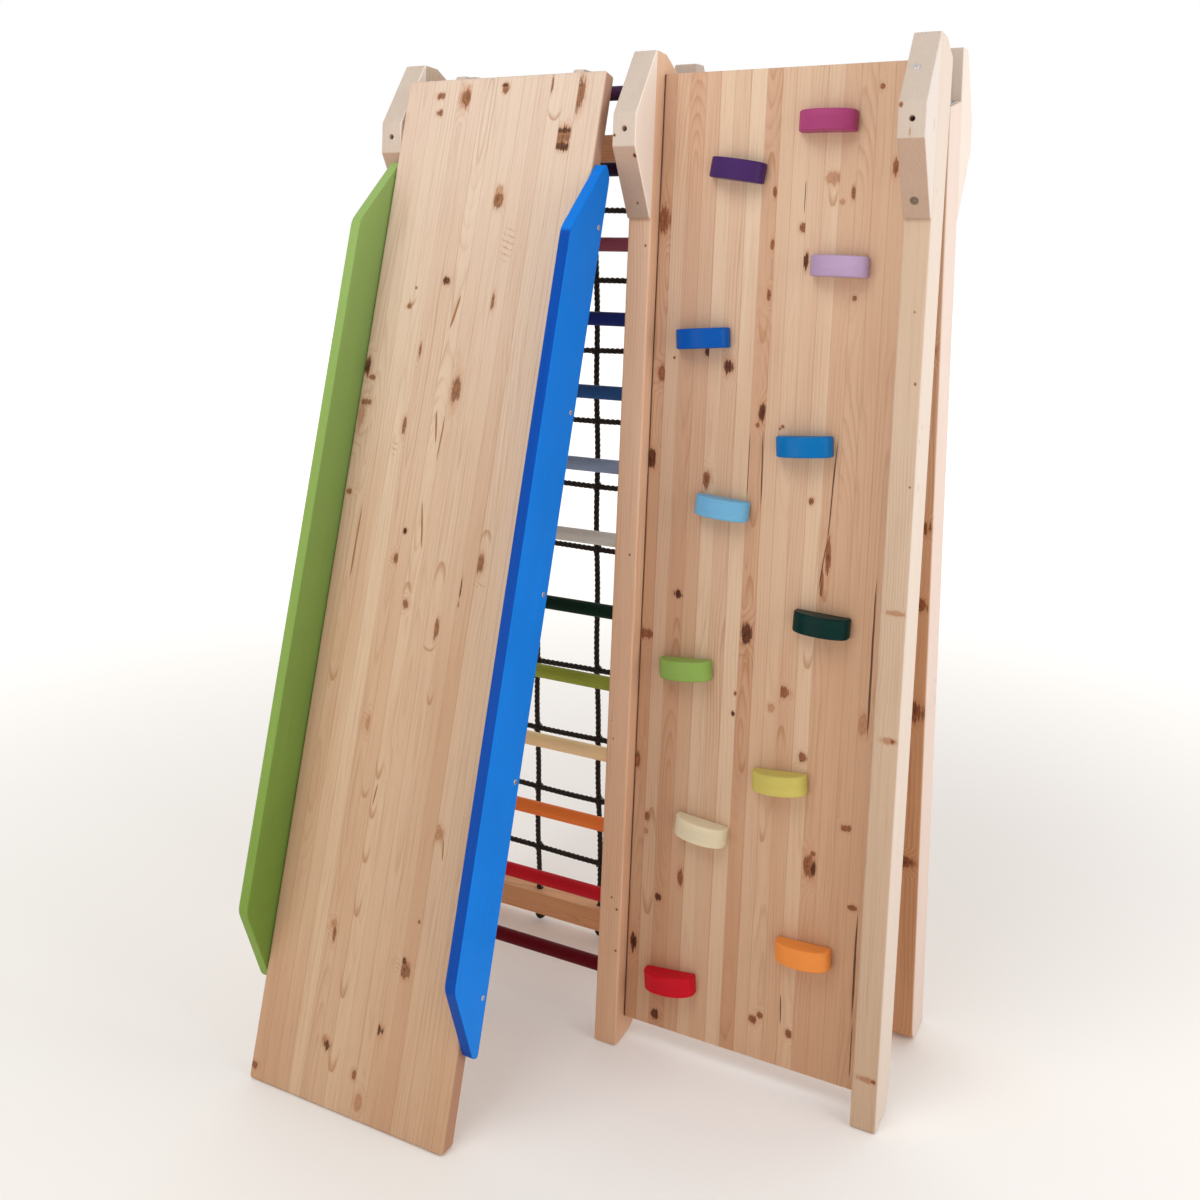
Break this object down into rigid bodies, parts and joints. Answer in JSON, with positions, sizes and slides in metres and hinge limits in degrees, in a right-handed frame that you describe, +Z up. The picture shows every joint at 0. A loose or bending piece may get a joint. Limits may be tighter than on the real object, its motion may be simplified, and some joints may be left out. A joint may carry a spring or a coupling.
{
  "type": "folding climbing frame with slide",
  "caption": "Hinged two-leaf wooden climbing frame with rungs, a climbing board with half-moon holds, a rope net and a hook-on slide.",
  "frame": {"origin": "centre of the bounding box, at floor level", "axes": "+Z up, -Y towards the climbing side and the slide, +X towards the climbing board bay"},
  "size_m": [0.9354, 0.6914, 1.6407],
  "materials": {
    "pine_pale": "clear-coated pale pine",
    "pine": "clear-coated knotty pine",
    "pine_board": "clear-coated glued pine board",
    "steel": "zinc plated",
    "paint_hold_cream": "satin lacquer",
    "paint_hold_dark_green": "satin lacquer",
    "paint_hold_light_blue": "satin lacquer",
    "paint_hold_lilac": "satin lacquer",
    "paint_hold_lime": "satin lacquer",
    "paint_hold_magenta": "satin lacquer",
    "paint_hold_mid_blue": "satin lacquer",
    "paint_hold_orange": "satin lacquer",
    "paint_hold_purple": "satin lacquer",
    "paint_hold_red": "satin lacquer",
    "paint_hold_royal_blue": "satin lacquer",
    "paint_hold_yellow": "satin lacquer",
    "rope": "twisted cord",
    "paint_rung_01": "satin lacquer",
    "paint_rung_02": "satin lacquer",
    "paint_rung_03": "satin lacquer",
    "paint_rung_04": "satin lacquer",
    "paint_rung_05": "satin lacquer",
    "paint_rung_06": "satin lacquer",
    "paint_rung_07": "satin lacquer",
    "paint_rung_08": "satin lacquer",
    "paint_rung_09": "satin lacquer",
    "paint_rung_10": "satin lacquer",
    "paint_rung_11": "satin lacquer",
    "paint_rung_12": "satin lacquer",
    "paint_rung_13": "satin lacquer",
    "rail_green": "satin green lacquer",
    "rail_blue": "satin blue lacquer"
  },
  "bodies": {
    "front_frame": {"climbing_panel": "pine_board", "front_bracket_left": "pine_pale", "front_bracket_mid": "pine_pale", "front_bracket_right": "pine_pale", "front_post_left": "pine", "front_post_mid": "pine", "front_post_right": "pine", "hinge_front_leaf_left": "steel", "hinge_front_leaf_mid": "steel", "hinge_front_leaf_right": "steel", "hold_cream": "paint_hold_cream", "hold_dark_green": "paint_hold_dark_green", "hold_light_blue": "paint_hold_light_blue", "hold_lilac": "paint_hold_lilac", "hold_lime": "paint_hold_lime", "hold_magenta": "paint_hold_magenta", "hold_mid_blue": "paint_hold_mid_blue", "hold_orange": "paint_hold_orange", "hold_purple": "paint_hold_purple", "hold_red": "paint_hold_red", "hold_royal_blue": "paint_hold_royal_blue", "hold_yellow": "paint_hold_yellow", "rung_01": "paint_rung_01", "rung_02": "paint_rung_02", "rung_03": "paint_rung_03", "rung_04": "paint_rung_04", "rung_05": "paint_rung_05", "rung_06": "paint_rung_06", "rung_07": "paint_rung_07", "rung_08": "paint_rung_08", "rung_09": "paint_rung_09", "rung_10": "paint_rung_10", "rung_11": "paint_rung_11", "rung_12": "paint_rung_12", "rung_13": "paint_rung_13"},
    "back_frame": {"back_bracket_left": "pine_pale", "back_bracket_mid": "pine_pale", "back_bracket_right": "pine_pale", "back_post_left": "pine", "back_post_mid": "pine", "back_post_right": "pine", "hinge_back_leaf_left": "steel", "hinge_back_leaf_mid": "steel", "hinge_back_leaf_right": "steel", "hinge_pin_left": "steel", "hinge_pin_mid": "steel", "hinge_pin_right": "steel", "net_bottom_beam": "pine", "net_top_beam": "pine", "right_bay_bottom_beam": "pine", "right_bay_top_beam": "pine", "rope_net": "rope"},
    "slide": {"slide_board": "pine_board", "slide_hook_left": "pine", "slide_hook_right": "pine", "slide_rail_left": "rail_green", "slide_rail_right": "rail_blue"}
  },
  "joints": [
    {"name": "frame_fold", "type": "hinge", "parent": "front_frame", "child": "back_frame", "pos_m": [0, 0.17712, 1.5496], "axis": [1, 0, 0], "range_deg": [-5.8, 14]},
    {"name": "slide_pivot", "type": "hinge", "parent": "front_frame", "child": "slide", "pos_m": [-0.21729, 0.13339, 1.57938], "axis": [-1, 0, 0], "range_deg": [0, 20]}
  ]
}
